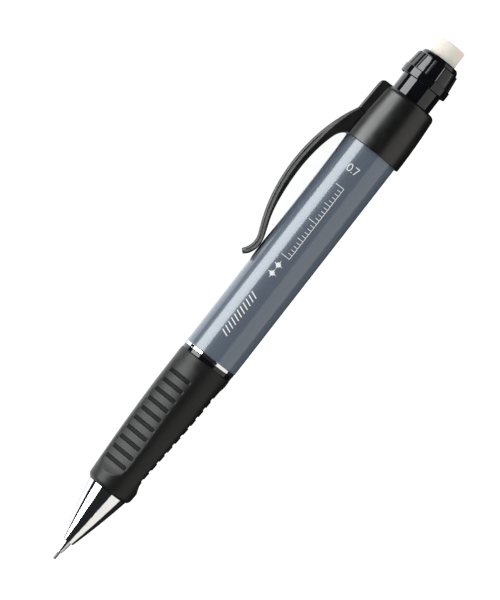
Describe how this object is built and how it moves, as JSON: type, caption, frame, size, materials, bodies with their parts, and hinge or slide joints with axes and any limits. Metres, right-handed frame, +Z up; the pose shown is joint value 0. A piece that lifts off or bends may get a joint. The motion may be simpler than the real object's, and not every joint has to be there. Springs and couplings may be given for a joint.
{
  "type": "mechanical pencil",
  "caption": "Push-button mechanical pencil with a sliding metal tip, ribbed rubber grip, pocket clip and a twist-out eraser in a ribbed knob.",
  "frame": {"origin": "under the middle of the pencil's length and width, on the surface it lies on", "axes": "+X from the writing tip to the eraser, +Y towards the pocket clip, +Z up; the pencil's own axis is parallel to X at y = -2.57 mm, z = 7.6 mm, and the clip points 22.5 degrees below +Y, so that its arm touches the surface"},
  "size_m": [0.1478, 0.0204, 0.0152],
  "materials": {
    "graphite": "dark grey graphite with a slight sheen",
    "tip_steel": "turned steel, polished",
    "black_rubber": "matt rubber",
    "chrome": "bright chrome plating",
    "brass": "turned brass",
    "spring_steel": "drawn wire",
    "inner_plastic": "natural white moulding",
    "reservoir_plastic": "smooth extruded tube",
    "gloss_black": "high gloss moulding",
    "grip_rubber": "matt soft rubber",
    "barrel_grey": "blue-grey satin lacquer",
    "satin_black": "satin moulding",
    "clip_black": "satin moulding",
    "eraser_vinyl": "matt off-white vinyl"
  },
  "bodies": {
    "barrel_body": {"nose_cone": "chrome", "mechanism_sleeve": "brass", "chuck_spring": "spring_steel", "grip_core": "gloss_black", "rubber_grip": "grip_rubber", "trim_ring": "chrome", "barrel": "barrel_grey", "clip_cap": "satin_black"},
    "clip": {"clip_arm": "clip_black"},
    "tip": {"sliding_tip": "tip_steel", "lead_retainer": "black_rubber"},
    "active_lead": {"lead": "graphite"},
    "clutch": {"clutch_ring": "brass"},
    "feed_unit": {"chuck": "brass", "chuck_connector": "inner_plastic", "lead_reservoir": "reservoir_plastic", "spare_leads": "graphite"},
    "eraser_unit": {"push_tube": "gloss_black", "spiral_liner": "inner_plastic"},
    "knob": {"twist_knob": "gloss_black", "drive_tube": "inner_plastic"},
    "eraser_stick": {"eraser_carrier": "inner_plastic", "eraser": "eraser_vinyl"}
  },
  "joints": [
    {"name": "click", "type": "slide", "parent": "barrel_body", "child": "feed_unit", "axis": [1, 0, 0], "range_m": [-0.0026, 0], "stiffness_N_per_m": 1200, "springref_m": 0.002, "deforming": ["chuck_spring"]},
    {"name": "clutch_shift", "type": "slide", "parent": "barrel_body", "child": "clutch", "axis": [1, 0, 0], "range_m": [-0.0008, 0]},
    {"name": "lead_feed", "type": "slide", "parent": "barrel_body", "child": "active_lead", "axis": [1, 0, 0], "range_m": [-0.0008, 0]},
    {"name": "tip_retract", "type": "slide", "parent": "barrel_body", "child": "tip", "axis": [1, 0, 0], "range_m": [0, 0.00315]},
    {"name": "eraser_unit_pull", "type": "slide", "parent": "feed_unit", "child": "eraser_unit", "axis": [1, 0, 0], "range_m": [0, 0.036]},
    {"name": "knob_twist", "type": "hinge", "parent": "eraser_unit", "child": "knob", "pos_m": [0.06613, -0.00257, 0.0076], "axis": [1, 0, 0], "range_deg": [-135, 360]},
    {"name": "eraser_feed", "type": "slide", "parent": "knob", "child": "eraser_stick", "axis": [1, 0, 0], "range_m": [-0.0045, 0.012]},
    {"name": "clip_flex", "type": "hinge", "parent": "barrel_body", "child": "clip", "pos_m": [0.04952, 0.00521, 0.00438], "axis": [0, -0.3827, -0.9239], "range_deg": [0, 4], "stiffness_Nm_per_rad": 2, "springref_deg": -1.15}
  ],
  "couplings": [
    {"joint": "clutch_shift", "follows": "click", "ratio": 0.3},
    {"joint": "lead_feed", "follows": "click", "ratio": 0.3},
    {"joint": "knob_twist", "follows": "eraser_feed", "rad_per_m": 523.59}
  ]
}
